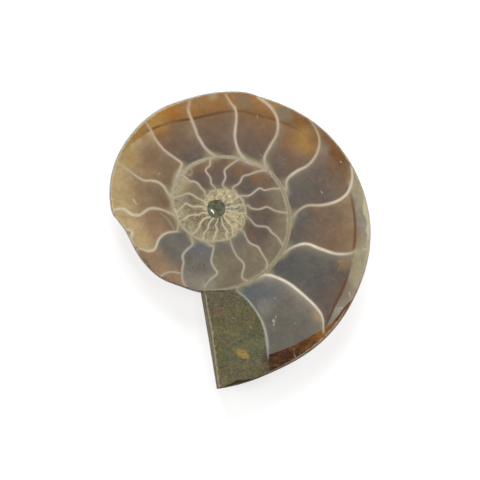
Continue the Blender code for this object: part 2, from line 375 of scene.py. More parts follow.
def septum_fields(places):
    """Signed distance from the face of the nearest septum, how light that septum is, and
    how far it leans to the side that the place is on."""
    nearest = np.zeros((3, len(places)))
    nearest[0] = FAR
    nearest[1] = 0.5
    for line, (half, light, lean) in zip(septum_lines, septum_looks):
        away, along, side = distance_to(line, places)
        steps = np.linspace(0.0, 1.0, len(half))
        away -= np.interp(along, steps, half)
        keep_nearer(nearest, np.array([away, np.interp(along, steps, light), side * lean]))
    for half, light, points in SIDE_WALLS:
        found = distance_to(curve_through(points), places)
        found[0] -= half
        found[1] = light
        found[2] = 0.0
        keep_nearer(nearest, found)
    return nearest


def spiral_fields(places):
    """Signed distance from the face of the spiral wall, the turn of the wall there, the
    distance from the middle of the wall where it is double, and 1 on its inner side."""
    turns = np.arange(SPIRAL_WALL[0][0], SPIRAL_WALL[-1][0], SPIRAL_STEP)
    spiral = heading(turns) * whorl_radius(turns)[:, None]
    nearest = np.full((4, len(places)), FAR)
    nearest[[1, 3]] = 0.0
    for first in range(0, len(turns) - 1, SPIRAL_STRETCH):
        last = min(first + SPIRAL_STRETCH, len(turns) - 1)
        away, along, side = distance_to(spiral[first:last + 1], places)
        turn = turns[first] + along * (turns[last] - turns[first])
        twin = smooth_step(TWIN_FROM - TWIN_FADE, TWIN_FROM, turn)
        twin *= smooth_step(TWIN_TO + TWIN_FADE, TWIN_TO, turn)
        from_face = away - smooth_through(SPIRAL_WALL_HALF, turn)
        keep_nearer(nearest, np.array([from_face, turn, away + (1.0 - twin) * FAR, side > 0]))
    return nearest


# The kinds of calcite in the chambers: at the inner wall, in the middle, and outside.
CALCITE = {
    "cold": ("slate", "taupe", "taupe"),
    "dusky": ("dusk", "dusk", "plum"),
    "smoky": ("dusk", "mauve", "tan"),
    "plum": ("dusk", "plum", "mauve"),
    "amber": ("plum", "mauve", "amber"),
    "honey": ("mauve", "tan", "pale honey"),
    "rosy": ("mauve", "rose", "pale honey"),
    "ashen": ("taupe", "taupe", "rose"),
    "grey": ("slate", "taupe", "ash"),
    "olive": ("taupe", "olive", "olive"),
    "brown": ("plum", "plum", "olive"),
    "dark brown": ("plum", "plum", "mauve"),
    "sandy": ("olive", "olive", "sand"),
    "mossy": ("moss", "olive", "sand"),
    "cream": ("sand", "cream", "cream"),
    "greenish": ("taupe", "grey green", "grey green"),
}
# The chambers from the newest to the oldest: a kind, and how many in a row are of it.
CHAMBER_RUNS = (
    ("cold", 2), ("dusky", 1), ("smoky", 1), ("plum", 1), ("amber", 4), ("honey", 2), ("rosy", 1),
    ("ashen", 1), ("grey", 1), ("olive", 2), ("brown", 3), ("dark brown", 4), ("sandy", 4),
    ("mossy", 4), ("cream", 2), ("greenish", 2), ("cream", 3),
)
CHAMBERS = [kind for kind, count in CHAMBER_RUNS for _ in range(count)]
FIRST_GRANULAR_CHAMBER = 24
# How granular each chamber is, by its number.
GRANULAR_SHARE = ((23, 0.0), (24, 0.4), (30, 0.65), (31, 0.9), (37, 1.0))
CORE_BEFORE = -235.0
# The chambers that iron has not warmed, the last three of them with grey walls too.
GREY_CHAMBERS = (12, 13, 14)
COLD_CHAMBERS = (0, 1, 2, *GREY_CHAMBERS)
GREY_SHARE = 0.6
# The stained band under the keel: how far it reaches in, the strength of the dark line
# on its inner edge, and its colours, all by turn.
BAND_DEPTH = (
    (115, 0.0), (125, 1.4), (139, 2.6), (150, 3.8), (170, 4.95), (190, 4.6), (207, 4.2),
    (222, 3.85), (232, 3.6), (246, 2.8), (256, 2.8), (270, 3.4), (285, 3.65), (299, 3.4),
    (310, 3.1), (317, 2.0), (325, 0.0),
)
BAND_LINE = (
    (125, 0.0), (139, 0.5), (143, 0.8), (152, 0.35), (160, 0.9), (178, 0.75), (190, 0.5),
    (206, 0.55), (220, 0.5), (236, 0.1), (255, 0.0), (262, 0.35), (270, 0.75), (285, 0.8),
    (291, 0.1), (297, 0.7), (303, 0.95), (314, 0.9), (319, 0.3),
)
BAND_SHADES = (
    (115, "honey"), (130, "gold"), (148, "orange"), (170, "amber"), (206, "amber"), (226, "rust"),
    (250, "rust"), (259, "sand"), (276, "ash"), (290, "sand"), (312, "ash"),
)
BAND_LEVELS = (0.84, 1.16)
IRON_DEPTH = (
    (300, -0.6), (303, 0.3), (308, 1.05), (312, 1.2), (316, 1.45), (320, 2.2), (325, 2.8),
    (330, 3.15), (336, 3.6), (341, 3.95),
)
# How far the iron has turned from dark brown to glassy amber, by turn.
IRON_GLOW = (
    (300, 0.5), (308, 0.5), (314, 0.9), (319, 1.1), (324, 0.75), (330, 0.6), (336, 0.4),
    (342, 0.3),
)
# Stains in single chambers: the middle, the reach, the tone and the strength.
STAINS = (
    ((19.4, 15.2), 3.6, "gold", 0.9), ((21.4, 15.2), 1.8, "rust", 0.4),
    ((16.4, 15.6), 3.0, "amber", 0.5), ((-19.4, 11.0), 2.8, "gold", 0.4),
    ((-14.4, 12.4), 3.4, "mauve", 0.6), ((-13.0, 19.0), 2.8, "gold", 0.95),
    ((-15.8, 15.8), 1.4, "amber", 0.6), ((-5.5, 17.0), 2.0, "tan", 0.6),
    ((5.8, 23.6), 2.2, "olive", 0.6), ((27.2, 9.8), 2.4, "rust", 0.6),
    ((28.6, 7.2), 1.7, "rust", 0.5), ((25.6, 13.6), 1.8, "rust", 0.6),
    ((23.4, 13.4), 1.7, "olive", 0.8), ((30.8, 4.2), 1.8, "sand", 0.8),
    ((15.2, 21.0), 2.0, "olive", 0.8), ((15.0, -11.2), 3.0, "deep slate", 0.4),
    ((10.8, -17.6), 2.4, "slate", 0.6), ((10.6, -21.6), 2.2, "haze", 0.4),
    ((28.2, -11.9), 1.9, "tan", 0.8), ((26.8, -22.9), 1.6, "haze", 0.8),
    ((31.4, -9.8), 2.2, "sand", 0.9), ((22.5, -23.6), 1.8, "honey", 0.7),
    ((27.6, -18.6), 3.0, "mauve", 0.5), ((30.4, -6.0), 2.2, "amber", 0.4),
    ((-19.0, -5.4), 1.1, "chalk", 1.0), ((-18.7, -3.2), 3.2, "pale honey", 0.6),
    ((-16.0, -8.6), 2.2, "pale honey", 0.6), ((-14.6, -11.0), 2.8, "tan", 0.7),
    ((-7.2, -6.0), 1.8, "deep slate", 0.3), ((-2.0, -16.8), 2.2, "haze", 0.6),
    ((8.7, 6.7), 1.4, "amber", 0.5), ((5.1, 8.2), 1.2, "amber", 0.4),
    ((-0.7, 24.8), 1.1, "sand", 0.7),
)


def calcite_colours(chamber, across, turn, past_band, places):
    """The colour of the calcite at each place, before its grain and its walls."""
    kinds = np.array([[paint(tone) for tone in CALCITE[kind]] for kind in CHAMBERS])[chamber]
    field = blend(kinds[:, 0], kinds[:, 1], smooth_step(0.05, 0.5, across))
    field = blend(field, kinds[:, 2], smooth_step(0.45, 0.85, across))
    # The band is deepest in colour where it starts, and pales towards the keel.
    banded = shade_through(BAND_SHADES, turn)
    banded *= np.interp(past_band, (0.0, 3.0), BAND_LEVELS)[:, None]
    field = blend(field, banded, smooth_step(-0.4, 0.5, past_band))
    for middle, reach, tone, strength in STAINS:
        away = np.hypot(*(places - middle).T)
        nearest = away.argmin()
        if away[nearest] < reach:
            share = strength * smooth_step(reach * 1.35, reach * 0.2, away)
            field = blend(field, tone, share * (chamber == chamber[nearest]))
    return field


def grid_over(name, rows, columns):
    """A flat grid mesh, and the row and the column of each of its vertices."""
    grid = bmesh.new()
    bmesh.ops.create_grid(grid, x_segments=rows, y_segments=columns, size=1.0)
    mesh = bpy.data.meshes.new(name)
    grid.to_mesh(mesh)
    grid.free()
    flat = np.empty(len(mesh.vertices) * 3)
    mesh.vertices.foreach_get("co", flat)
    shares = (flat.reshape(-1, 3)[:, :2] + 1) / 2
    row, column = np.rint(shares * (rows, columns)).astype(int).T
    return mesh, row, column


def put_vertices(mesh, places, height):
    """Moves the vertices to their places, none of them outside the fossil's own box."""
    world = np.column_stack([places + coil_middle, face_height + height])
    mesh.vertices.foreach_set("co", (np.clip(world, node_low, node_high) * MM).ravel())
    mesh.update()


edge_turns = turn_of(face_edge)
edge_turns[KEEL_STATIONS:] += 360.0 * (edge_turns[KEEL_STATIONS:] < 180.0)
corner_turn = edge_turns[-1]
all_turns = np.concatenate([[corner_turn - 360.0], edge_turns])
all_radii = np.hypot(*np.vstack([face_edge[-1:], face_edge]).T)


def ribbon_place(turn, across):
    """Where a place in the ribbon lies on the face, and its share across the whorl."""
    inner = whorl_radius(np.minimum(turn - 360.0, SPIRAL_WALL[-1][0]))
    wound = smooth_through(SPIRAL_WALL, turn)
    outer = np.where(turn <= SPIRAL_WALL[-1][0], wound, np.interp(turn, all_turns, all_radii))
    radius = inner + (outer - inner) * across
    whorl = np.maximum(whorl_radius(turn) - inner, 1e-6)
    return heading(turn) * radius[:, None], np.clip((radius - inner) / whorl, 0.0, 1.0)


# The shell itself shows as a pale line round the rim: how wide it is, by turn.
SHELL_WIDTH = (
    (10, 0.1), (60, 0.15), (80, 0.35), (100, 0.28), (120, 0.3), (150, 0.35), (168, 0.25),
    (185, 0.12), (215, 0.1), (235, 0.1), (262, 0.1), (266, 0.2), (269, 0.7), (272, 0.9),
    (275, 0.4), (278, 0.75), (282, 0.35), (292, 0.25), (300, 0.2), (315, 0.28), (325, 0.22),
    (345, 0.12), (359.7, 0.2),
)
SHELL_LIGHT = (
    (10, 0.1), (50, 0.3), (60, 0.3), (70, 0.8), (80, 0.7), (100, 0.6), (120, 0.6), (150, 0.65),
    (168, 0.35), (185, 0.2), (215, 0.15), (235, 0.2), (262, 0.25), (268, 0.8), (279, 0.8),
    (284, 0.4), (290, 0.4), (300, 0.3), (308, 0.5), (330, 0.5), (345, 0.25), (359.7, 0.3),
)
# Bright flecks and fine scratches, pale in themselves and partly painted glints, and dark pits
# and cracks, one of them holding painted shadow: the half width of each and the places that it
# runs through.
PALE_MARKS = (
    (0.05, ((12.6, -24.3), (12.9, -25.1), (12.5, -25.7))),
    (-0.02, ((13.3, -23.4), (13.1, -24.4))), (0.02, ((17.3, -25.2), (17.5, -25.3))),
    (-0.08, ((17.9, -18.9), (17.6, -19.5))), (0.06, ((-18.2, 2.1), (-17.9, 1.4), (-17.5, 1.0))),
    (-0.05, ((14.6, 9.7), (15.1, 10.0))), (-0.04, ((-4.9, -7.9), (-4.6, -8.4))),
    (0.10, ((11.8, 8.2), (12.1, 7.7))), (-0.06, ((8.0, -5.9), (7.9, -6.4))),
    (-0.04, ((10.6, 17.4), (10.7, 17.2))), (0.04, ((4.3, 22.2), (4.2, 22.5))),
    (0.02, ((27.3, 10.4), (27.6, 10.1))), (-0.06, ((-12.3, 7.7), (-12.7, 7.7))),
    (0.02, ((9.4, -24.3), (10.0, -24.9))), (-0.06, ((-3.2, -9.6), (-3.8, -11.4))),
    (0.08, ((26.9, -22.0), (27.9, -21.6))),
    (-0.09, ((27.1, -11.1), (26.8, -13.4), (25.1, -14.7), (23.2, -15.3))),
    (-0.02, ((17.0, -30.6), (17.3, -32.2), (17.9, -33.4))),
    (-0.04, ((18.0, -31.4), (18.9, -32.6))),
    (0.14, ((-19.3, -4.4), (-19.0, -5.6), (-18.6, -6.8))), (0.02, ((3.5, -24.0), (4.3, -24.2))),
    (0.08, ((7.5, -26.0), (7.8, -26.3))), (0.05, ((-23.1, 2.2), (-22.7, 2.0))),
    (0.04, ((29.2, -18.4), (29.6, -19.6))), (-0.04, ((21.9, -6.0), (22.4, -6.2))),
    (-0.05, ((9.0, 20.6), (9.1, 19.8), (8.8, 19.2))), (-0.05, ((9.5, 12.0), (10.6, 11.3))),
    (0.0, ((10.6, -20.0), (10.7, -20.1))), (0.0, ((14.7, -28.0), (14.8, -28.1))),
    (-0.03, ((12.9, -19.6), (13.0, -19.7))), (-0.02, ((19.6, -22.7), (19.7, -22.8))),
    (-0.02, ((24.5, 5.1), (24.6, 5.2))), (0.0, ((6.2, -18.9), (6.3, -19.0))),
    (0.0, ((7.4, -19.4), (7.5, -19.5))), (-0.03, ((8.1, -19.6), (8.2, -19.7))),
    (-0.04, ((13.2, -23.0), (13.0, -23.8))), (0.03, ((12.4, -24.7), (12.9, -25.0))),
    (-0.02, ((23.6, 8.3), (23.8, 8.2))), (-0.04, ((22.9, 3.9), (23.4, 3.4))),
)
DARK_MARKS = (
    # The first runs along the top of the mud at the notch: a crack, darkened with painted shadow.
    (0.16, ((-3.6, -18.2), (-1.2, -18.1), (1.9, -18.1))), (0.08, ((-3.5, -11.9), (-3.6, -12.1))),
    (0.08, ((-5.3, -12.7), (-5.2, -12.9))), (0.06, ((-2.6, -12.3), (-2.7, -12.6))),
    (0.02, ((-11.3, -15.0), (-9.4, -16.3), (-7.3, -17.2), (-5.0, -17.8))),
    (0.08, ((6.4, -1.9), (6.5, -2.8))), (0.10, ((5.0, -5.0), (4.6, -5.6))),
    (0.05, ((27.3, 10.9), (27.6, 10.9), (27.7, 10.3))), (0.02, ((12.2, -12.6), (12.3, -12.7))),
    (0.05, ((11.4, -32.6), (11.9, -34.5), (12.2, -36.2))),
)
# The corners between walls fill with olive calcite, more of it in the last whorl.
CORNER_SHADE = "#988c6c"
CORNER_SHARES = (0.75, 0.35)
INFILL_REACH = 2.4
INFILL_CORE = 0.6
WALL_TINT = 0.3
# Light scatters in the calcite beside a wall, the more the further the wall leans there.
HALO_SHADE = "#a69982"
HALO_REACH = 0.55
HALO_SHARE = 0.12
HALO_LEAN_SHARE = 0.6
HALO_MOST = 0.8
# On the inner side of the spiral wall a lining of grainy cream calcite: its reach, by turn.
LINING_REACH = (
    (-660, 0.3), (-380, 0.3), (-330, 0.4), (-300, 0.9), (-280, 1.7), (-262, 1.7), (-240, 1.2),
    (-215, 0.55), (-180, 0.35), (-150, 0.3), (-90, 0.3), (8.2, 0.25),
)
LINING_SHADE = "#9b9175"
LINING_SHARE = 0.9
LINING_GRAIN = 0.8
OUTER_LINING = 0.35
# The pale line along the sawn edge of the face is a painted highlight on that edge: its width.
SAWN_HIGHLIGHT_WIDTH = 0.32


def marks_field(marks, places):
    """Signed distance from the edge of the nearest mark."""
    edges = [distance_to(curve_through(points), places)[0] - half for half, points in marks]
    return np.minimum(np.min(edges, axis=0), FAR)


def add_field(mesh, name, values):
    """Gives a mesh one value, or one colour, for each of its vertices."""
    if values.ndim == 1:
        attribute = mesh.attributes.new(name, "FLOAT", "POINT")
        attribute.data.foreach_set("value", values.astype(np.float32))
    else:
        attribute = mesh.attributes.new(name, "FLOAT_COLOR", "POINT")
        opaque = np.column_stack([values, np.ones(len(values))]).astype(np.float32)
        attribute.data.foreach_set("color", opaque.ravel())


def face_mesh(name, turns, columns, swing=None):
    """The face between two turns: a grid wound along the coil from wall to wall, with the
    fields that its materials read. Gives the places of its vertices too."""
    mesh, row, column = grid_over(name, len(turns) - 1, columns)
    across = column / columns
    turn = turns[row]
    if swing is not None:
        turn = turn + swing(turn, across)
    places, share = ribbon_place(turn, across)
    put_vertices(mesh, places, np.zeros(len(places)))
    chamber = chamber_at(share, turn)
    septum, light, lean = septum_fields(places)
    spiral, wall_turn, gap, inner_side = spiral_fields(places)
    below_keel = np.where(turn > KEEL[0][0], whorl_radius(turn) - np.hypot(*places.T), FAR * 3)
    banded = (turn > BAND_DEPTH[0][0]) & (turn < BAND_DEPTH[-1][0])
    past_band = np.where(banded, smooth_through(BAND_DEPTH, turn) - below_keel, -FAR)
    crusted = turn > IRON_DEPTH[0][0]
    past_iron = np.where(crusted, smooth_through(IRON_DEPTH, turn) - below_keel, -FAR)
    # Where a septum meets the spiral wall, the corner on its older side is filled in.
    close = np.clip(FILLET - np.abs(septum - spiral), 0.0, FILLET)
    wall = np.minimum(septum, spiral) - close**2 / FILLET / 4
    from_corner = np.maximum(septum, 0) + np.maximum(spiral, 0)
    corner = smooth_step(INFILL_REACH, INFILL_CORE, from_corner)
    corner *= np.where(turn > 0, *CORNER_SHARES)
    lining_reach = straight_through(LINING_REACH, wall_turn)
    lining_reach *= OUTER_LINING + (1.0 - OUTER_LINING) * inner_side
    lining = LINING_SHARE * smooth_step(1.0, 0.3, spiral / lining_reach)
    lean = np.maximum(lean, 0.0)
    halo = light * np.exp(-np.maximum(septum, 0.0) / (HALO_REACH * (1.0 + lean)))
    halo *= HALO_SHARE + HALO_LEAN_SHARE * lean
    colour = calcite_colours(chamber, share, turn, past_band, places)
    colour = blend(colour, CORNER_SHADE, corner)
    colour = blend(colour, LINING_SHADE, lining)
    colour = blend(colour, HALO_SHADE, np.clip(halo, 0.0, HALO_MOST))
    line = shade_through(WALL_SHADES, light)
    in_core = (chamber >= FIRST_GRANULAR_CHAMBER) & (turn < CORE_BEFORE)
    line = blend(line, CORE_WALL_SHADE, in_core)
    line = blend(line, shade_through(SPIRAL_SHADES, wall_turn), spiral < septum)
    grey = GREY_SHARE * (np.isin(chamber, GREY_CHAMBERS) & (turn > 0))
    line = blend(line, paint(COLD_WALL_SHADE) * (0.6 + light[:, None]), grey)
    # A wall takes on some of the hue of the calcite round it.
    tinted = colour / colour.mean(1, keepdims=True) * line.mean(1, keepdims=True)
    line = blend(line, tinted, np.full(len(places), WALL_TINT))
    grainy = np.maximum(straight_through(GRANULAR_SHARE, chamber), LINING_GRAIN * lining)
    from_sawn_edge = np.minimum(distance_to(sawn_edge, places)[0], FAR)
    fields = {
        "wall": wall, "gap": gap, "grainy": grainy, "past_band": past_band,
        "past_iron": past_iron, "band_line": straight_through(BAND_LINE, turn) * banded,
        "iron_glow": straight_through(IRON_GLOW, turn),
        "warm": ~np.isin(chamber, COLD_CHAMBERS),
        "shell": smooth_through(SHELL_WIDTH, turn) + EDGE_INSET - below_keel,
        "shell_light": straight_through(SHELL_LIGHT, turn),
        "sawn_edge": from_sawn_edge - SAWN_HIGHLIGHT_WIDTH,
        "pale_mark": marks_field(PALE_MARKS, places),
        "dark_mark": marks_field(DARK_MARKS, places), "calcite": colour, "wall_line": line,
    }
    for name, values in fields.items():
        add_field(mesh, name, values)
    return mesh, places


def close_and_place(mesh, outwards=(0, 0, 1)):
    """Merges the seams, turns the faces outwards and puts the piece on the fossil."""
    shape = bmesh.new()
    shape.from_mesh(mesh)
    bmesh.ops.remove_doubles(shape, verts=shape.verts, dist=1e-6)
    shape.to_mesh(mesh)
    shape.free()
    if sum((face.normal * face.area for face in mesh.polygons), Vector()).dot(outwards) < 0:
        mesh.flip_normals()
    mesh.shade_smooth()
    piece = bpy.data.objects.new(mesh.name, mesh)
    bpy.context.scene.collection.objects.link(piece)
    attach(piece, "root")
    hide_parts("ammonite_half")
    return piece


LAST_SEPTUM_TURN = 342.0
LEAN_REACH = 14.0
LAST_WHORL_COLUMNS = 100


def lean_to_septum(turn, across):
    """Swings the rows near the last septum so that one of them lies along it."""
    near = np.clip(1.0 - np.abs(turn - LAST_SEPTUM_TURN) / LEAN_REACH, 0.0, 1.0)
    return (np.interp(across, *septa_across[0]) - LAST_SEPTUM_TURN) * near


split = int(np.searchsorted(all_turns, LAST_SEPTUM_TURN))
all_turns[split] = LAST_SEPTUM_TURN
mesh, _ = face_mesh("last_whorl", all_turns[:split + 1], LAST_WHORL_COLUMNS, lean_to_septum)
last_whorl = close_and_place(mesh)

PER_METRE = 1 / MM
# The sockets of a Mix node that mixes colours.
SHARE, UNDER, OVER, MIXED = 0, 6, 7, 2


def add(tree, kind, inputs, out=0, **settings):
    """Adds a shader node with its settings and links, and gives back one of its outputs."""
    made = tree.nodes.new("ShaderNode" + kind)
    for name, value in settings.items():
        setattr(made, name, value)
    for socket, value in inputs.items():
        if isinstance(value, bpy.types.NodeSocket):
            tree.links.new(value, made.inputs[socket])
        else:
            value = linear(value) if isinstance(value, str) else value
            made.inputs[socket].default_value = value
    return made.outputs[out]


def new_material(name, constants):
    """A material, its nodes and its shader, with these constants set on the shader."""
    material = bpy.data.materials.new(name)
    material.use_nodes = True
    shader = material.node_tree.nodes["Principled BSDF"]
    for socket, value in constants.items():
        shader.inputs[socket].default_value = value
    return material, material.node_tree, shader


def vary(tree, colour, *patterns):
    """Darkens and lightens a colour with patterns: for each, two of its values and how
    light the colour is at them."""
    for pattern, low, high, darkest, lightest in patterns:
        level = add(tree, "MapRange", {
            "Value": pattern, "From Min": low, "From Max": high, "To Min": darkest,
            "To Max": lightest,
        })
        colour = add(tree, "VectorMath", {0: colour, "Scale": level}, operation="SCALE")
    return colour


def lay_over(tree, colour, *layers, fade="SMOOTHSTEP"):
    """Lays stains and lines over a colour: for each its field, the values between which
    it comes in, how far it covers, and its colour."""
    for value, low, high, most, over in layers:
        share = add(tree, "MapRange", {
            "Value": value, "From Min": low, "From Max": high, "To Max": most,
        }, interpolation_type=fade)
        colour = add(
            tree, "Mix", {SHARE: share, UNDER: colour, OVER: over}, MIXED, data_type="RGBA"
        )
    return colour


# Sparry calcite, ground and polished: each chamber is a faintly cloudy mosaic of crystals
# under a clear wet gloss, and the walls show as smooth opaque lines.
polished_calcite, tree, shader = new_material("polished_calcite", {
    "Roughness": 0.25, "IOR": 1.52, "Coat Weight": 0.4, "Coat Roughness": 0.05,
})
where = add(tree, "TexCoord", {}, "Object")
field = {
    name: add(tree, "Attribute", {}, "Fac", attribute_name=name)
    for name in (
        "wall", "gap", "grainy", "past_band", "past_iron", "band_line", "shell",
        "shell_light", "iron_glow", "warm", "pale_mark", "dark_mark",
    )
}
# Clouds and veils, a dust that is drawn coarser than the real crystal grain, to show, the
# patches of hue, the healed cracks, and the threads and flecks of the oldest whorls.
clouds, veils, grit, hues, cracks, threads, flecks = (
    add(tree, "TexNoise", {
        "Vector": where, "Scale": PER_METRE / size, "Detail": detail, "Roughness": rough,
        "Distortion": twist,
    })
    for size, detail, rough, twist in (
        (4.0, 4.0, 0.6, 0.6), (1.3, 5.0, 0.65, 1.0), (0.42, 3.0, 0.7, 0.0),
        (3.2, 4.0, 0.6, 0.8), (7.0, 4.0, 0.55, 0.6), (1.25, 1.0, 0.5, 1.4),
        (0.6, 3.0, 0.5, 0.6),
    )
)
crystals = add(tree, "TexVoronoi", {"Vector": where, "Scale": PER_METRE / 1.3}, "Color")
crystal = add(tree, "SeparateColor", {0: crystals})
# The crystals grew from the walls in faint bands, and iron has warmed them in places.
rings = add(tree, "Math", {0: veils, 1: 9.0}, operation="MULTIPLY")
rings = add(
    tree, "Math", {0: field["wall"], 1: math.tau / 0.62, 2: rings}, operation="MULTIPLY_ADD"
)
rings = add(tree, "Math", {0: rings}, operation="SINE")
colour = vary(
    tree, add(tree, "Attribute", {}, "Color", attribute_name="calcite"),
    (clouds, 0.25, 0.75, 0.82, 1.18), (veils, 0.25, 0.75, 0.9, 1.1),
    (crystal, 0.25, 0.75, 0.975, 1.025), (grit, 0.25, 0.75, 0.93, 1.07),
    (rings, -1.0, 1.0, 0.985, 1.015),
)
warmth = add(tree, "Math", {0: field["warm"], 1: 0.2}, operation="MULTIPLY")
# Healed cracks run through it as faint pale threads, clearer in the iron.
cracks, threads = (
    add(tree, "Math", {0: pattern, 1: middle}, operation="SUBTRACT")
    for pattern, middle in ((cracks, 0.47), (threads, 0.5))
)
cracks, threads = (
    add(tree, "Math", {0: offset}, operation="ABSOLUTE") for offset in (cracks, threads)
)
faint, clear = (
    add(tree, "Math", {0: veils, 1: most}, operation="MULTIPLY") for most in (0.13, 0.65)
)
colour = lay_over(
    tree, colour, (hues, 0.52, 0.68, warmth, "#94602c"), (hues, 0.48, 0.36, 0.22, "#6f6a58"),
    (cracks, 0.008, 0.001, faint, "#c9bda4"),
)
# In the oldest whorls threads of cream calcite wind through olive crystals.
lumps = add(tree, "TexVoronoi", {"Vector": where, "Scale": PER_METRE / 0.75}, "Distance")
lumps = add(tree, "Math", {0: flecks, 1: 0.8, 2: lumps}, operation="MULTIPLY_ADD")
granular = vary(tree, colour, (lumps, 0.55, 1.2, 1.2, 0.6))
granular = lay_over(tree, granular, (threads, 0.05, 0.02, 0.6, "#c9bd9b"))
colour = lay_over(tree, colour, (field["grainy"], 0.0, 1.0, 1.0, granular), fade="LINEAR")

# The walls waver a little with the crystals, and more in the granular calcite, and they
# are clearer in some places than in others.
sway = add(tree, "Math", {0: veils, 1: 0.5}, operation="SUBTRACT")
reach = add(tree, "MapRange", {"Value": field["grainy"], "To Min": 0.2, "To Max": 1.0})
sway = add(tree, "Math", {0: sway, 1: reach}, operation="MULTIPLY")
wall, band = (
    add(tree, "Math", {0: field[name], 1: sway}, operation="ADD")
    for name in ("wall", "past_band")
)
line = add(tree, "Attribute", {}, "Color", attribute_name="wall_line")
line = vary(tree, line, (veils, 0.3, 0.7, 0.86, 1.08))
cover = add(tree, "MapRange", {
    "Value": clouds, "From Min": 0.35, "From Max": 0.6, "To Min": 0.78, "To Max": 1.0,
})
broken = add(tree, "Math", {0: flecks, 1: 0.5}, operation="SUBTRACT")
pale_mark, dark_mark, shell_line = (
    add(tree, "Math", {0: broken, 1: much, 2: field[name]}, operation="MULTIPLY_ADD")
    for name, much in (("pale_mark", 0.7), ("dark_mark", 0.6), ("shell", 0.7))
)
band_start, band_end, shell_line = (
    add(tree, "MapRange", {
        "Value": value, "From Min": low, "From Max": high,
    }, interpolation_type="SMOOTHSTEP")
    for value, low, high in ((band, -0.42, 0.0), (band, 0.75, 0.12), (shell_line, -0.15, 0.15))
)
band_line = add(tree, "Math", {0: band_start, 1: band_end}, operation="MULTIPLY")
band_line, shell_line = (
    add(tree, "Math", {0: value, 1: field[name]}, operation="MULTIPLY")
    for value, name in ((band_line, "band_line"), (shell_line, "shell_light"))
)
# The iron runs from dark brown to amber, darkest where it starts, with threads of tan.
glow = add(tree, "Math", {0: veils, 1: 2.4, 2: field["iron_glow"]}, operation="MULTIPLY_ADD")
crust = lay_over(tree, "#3b1f0b", (glow, 1.45, 2.6, 1.0, "#8c5a1e"))
crust = vary(tree, crust, (flecks, 0.3, 0.7, 0.9, 1.1))
crust = lay_over(tree, crust, (cracks, 0.008, 0.001, clear, "#9c8154"))
colour = lay_over(
    tree, colour, (band_line, 0.0, 1.0, 0.92, "#5f3c22"),
    (field["past_iron"], -0.12, 0.14, 1.0, crust), (shell_line, 0.0, 1.0, 0.95, "#c4b99c"),
    (wall, 0.4, 0.0, 0.16, line), (wall, 0.13, -0.13, cover, line),
    # The dark marks hold painted shadow in the crack at the notch.
    (field["gap"], 0.24, 0.06, 0.6, "#857a60"), (dark_mark, 0.14, -0.1, 0.65, "#3f3a30"),
    # The pale marks are partly painted glints.
    (pale_mark, 0.18, -0.1, 0.6, "#cfc8b7"),
)
tree.links.new(colour, shader.inputs["Base Color"])
last_whorl.data.materials.append(polished_calcite)


# The inner whorls. The shell's earlier turns, wound inside the last one and cut by the
# same saw; the oldest are packed with granular tan calcite between fine pale walls.

INNER_COLUMNS = 58
CORE_COLUMNS = 40
FIRST_TURN = -660.0

core_turns = all_turns - 720.0
core_turns = np.concatenate([[FIRST_TURN], core_turns[core_turns > FIRST_TURN]])
for name, turns, columns in (
    ("inner_whorls", all_turns[all_turns <= corner_turn] - 360.0, INNER_COLUMNS),
    ("core_whorls", core_turns, CORE_COLUMNS),
):
    mesh, _ = face_mesh(name, turns, columns)
    mesh.materials.append(polished_calcite)
    close_and_place(mesh)


# The mud filling. Grey-green sandy mud ran into the open body chamber and set to stone;
# it is cut flush with the calcite and takes only a dull polish.

MUD_TONES = {
    "brown": "#5c543e", "green": "#5a5e42", "pale": "#6c664a", "rust": "#6c5438",
    "dark rust": "#48361f",
}
MUD_STAINS = (
    ((-0.5, -20.2), 4.5, "brown", 0.7), ((4.5, -19.6), 3.0, "brown", 0.8),
    ((0.6, -22.4), 1.6, "rust", 0.8), ((5.8, -31.4), 4.2, "green", 0.5),
    ((9.0, -29.5), 3.5, "green", 0.6), ((2.5, -27.5), 4.0, "pale", 0.3),
    ((5.0, -35.5), 4.0, "brown", 0.6), ((9.9, -33.6), 1.6, "pale", 0.8),
    ((11.2, -33.2), 1.7, "dark rust", 1.0), ((11.6, -35.2), 1.8, "dark rust", 1.0),
    ((1.0, -37.5), 2.0, "pale", 0.6),
)
MUD_SHADE = "#5b5532"
# A pebble of yellow ochre lies in the mud: its middle, half lengths and tilt.
OCHRE_MIDDLE = np.array([5.7, -31.9])
OCHRE_HALVES = (1.75, 0.82)
OCHRE_TILT = math.radians(-31)

mesh, places = face_mesh("mud_filling", all_turns[split:], LAST_WHORL_COLUMNS, lean_to_septum)
mud = np.tile(paint(MUD_SHADE), (len(places), 1))
for middle, reach, tone, strength in MUD_STAINS:
    away = np.hypot(*(places - middle).T)
    mud = blend(mud, MUD_TONES[tone], strength * smooth_step(reach * 1.3, reach * 0.2, away))
add_field(mesh, "mud", mud)
long_way = np.array([math.cos(OCHRE_TILT), math.sin(OCHRE_TILT)])
short_way = np.array([-math.sin(OCHRE_TILT), math.cos(OCHRE_TILT)])
offset = (places - OCHRE_MIDDLE) @ np.stack([long_way, short_way], 1) / OCHRE_HALVES
add_field(mesh, "ochre", np.minimum(np.hypot(*offset.T), FAR))
mud_filling = close_and_place(mesh)

